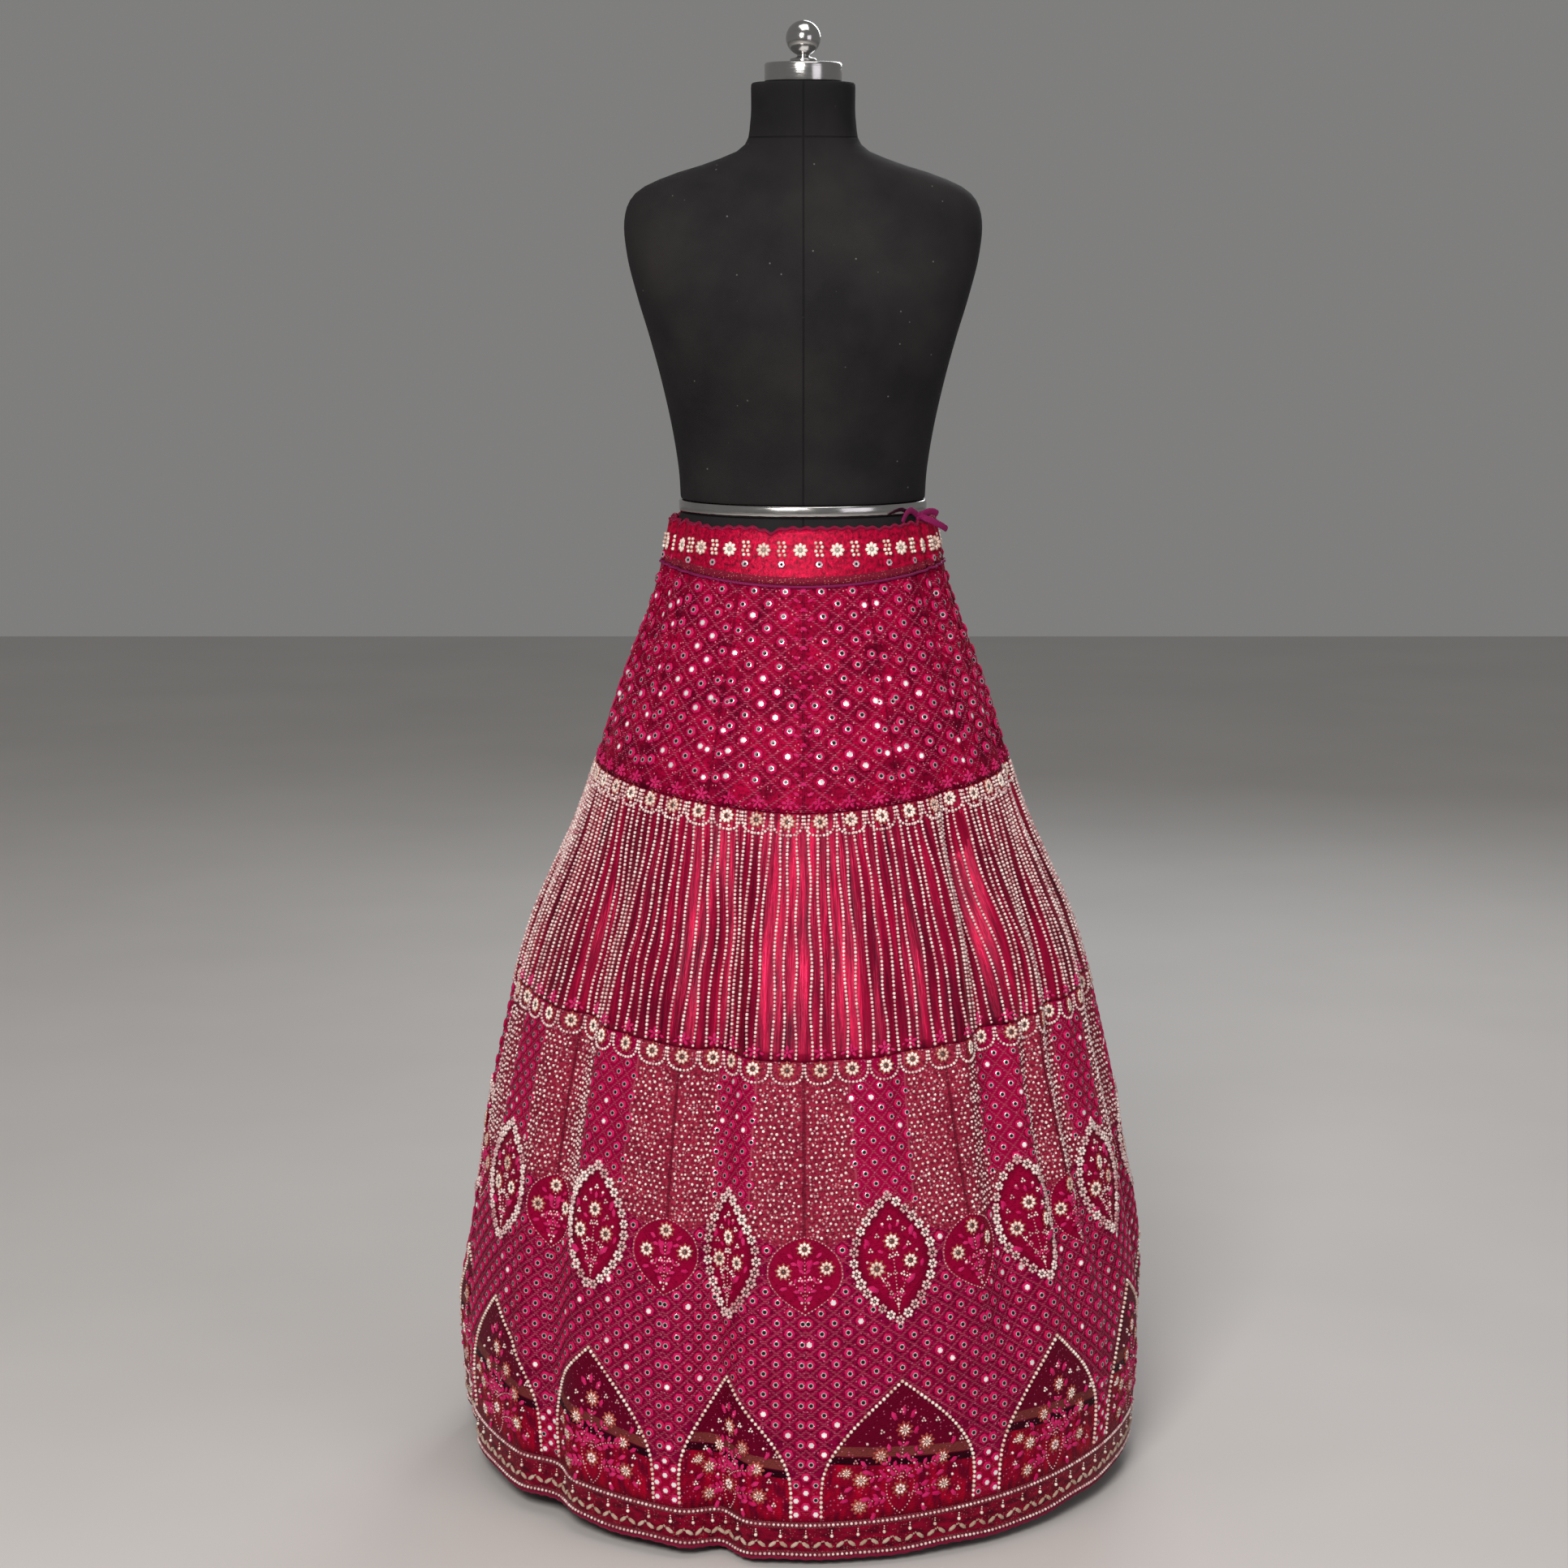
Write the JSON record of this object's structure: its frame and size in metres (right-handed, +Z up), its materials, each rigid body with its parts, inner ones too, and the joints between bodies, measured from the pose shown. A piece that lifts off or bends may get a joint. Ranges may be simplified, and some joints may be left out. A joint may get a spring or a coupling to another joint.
{
  "type": "lehenga skirt on a limbless dress form",
  "caption": "Long flared lehenga skirt with tiered bead and mirror work, gathered on a drawstring, standing on a limbless dress form with pole and base.",
  "frame": {"origin": "centre of the base plate's underside, on the floor under the form's axis", "axes": "+Z up along the form's pole, front of the skirt towards -Y, the wearer's left towards +X"},
  "size_m": [0.7593, 0.7494, 1.5453],
  "materials": {
    "band_satin": "bright crimson gathered satin with cream bead flowers",
    "mauve_piping": "mauve rolled piping",
    "mauve_cord": "mauve flat cord",
    "mirror_net": "crimson net with a pink diamond lattice and small mirrors",
    "bead_satin": "crimson satin with upright lines of pearl beads",
    "lattice_net": "crimson net with lattice, dotted panels and arches of bead work",
    "border_satin": "dark crimson satin with a bead vine and mauve edging",
    "facing_satin": "bright red satin facing",
    "cream_beads": "cream bead flowers and bead loops on a net strip",
    "black_jersey": "matt black jersey over the padded form",
    "chrome_steel": "polished chrome",
    "black_steel": "satin black powder coat"
  },
  "bodies": {
    "root": {"drawstring_end_lower": "mauve_cord", "drawstring_end_upper": "mauve_cord", "drawstring_knot": "mauve_cord", "drawstring_tied": "mauve_cord", "form_base": "black_steel", "form_finial": "chrome_steel", "form_lower": "black_jersey", "form_neck_cap": "chrome_steel", "form_pole": "chrome_steel", "form_upper": "black_jersey", "form_waist_ring": "chrome_steel", "hem_border_back": "border_satin", "hem_border_front": "border_satin", "hem_facing": "facing_satin", "leaf_outline_01": "cream_beads", "leaf_outline_02": "cream_beads", "leaf_outline_03": "cream_beads", "leaf_outline_04": "cream_beads", "leaf_outline_05": "cream_beads", "leaf_outline_06": "cream_beads", "leaf_outline_07": "cream_beads", "leaf_outline_08": "cream_beads", "leaf_outline_09": "cream_beads", "leaf_outline_10": "cream_beads", "leaf_outline_11": "cream_beads", "leaf_outline_12": "cream_beads", "leaf_outline_13": "cream_beads", "leaf_outline_14": "cream_beads", "lower_scallop_trim": "cream_beads", "lower_tier_back": "lattice_net", "lower_tier_front": "lattice_net", "middle_tier_back": "bead_satin", "middle_tier_front": "bead_satin", "upper_scallop_trim": "cream_beads", "upper_tier_back": "mirror_net", "upper_tier_front": "mirror_net", "waist_piping": "mauve_piping", "waistband": "band_satin"}
  },
  "joints": []
}
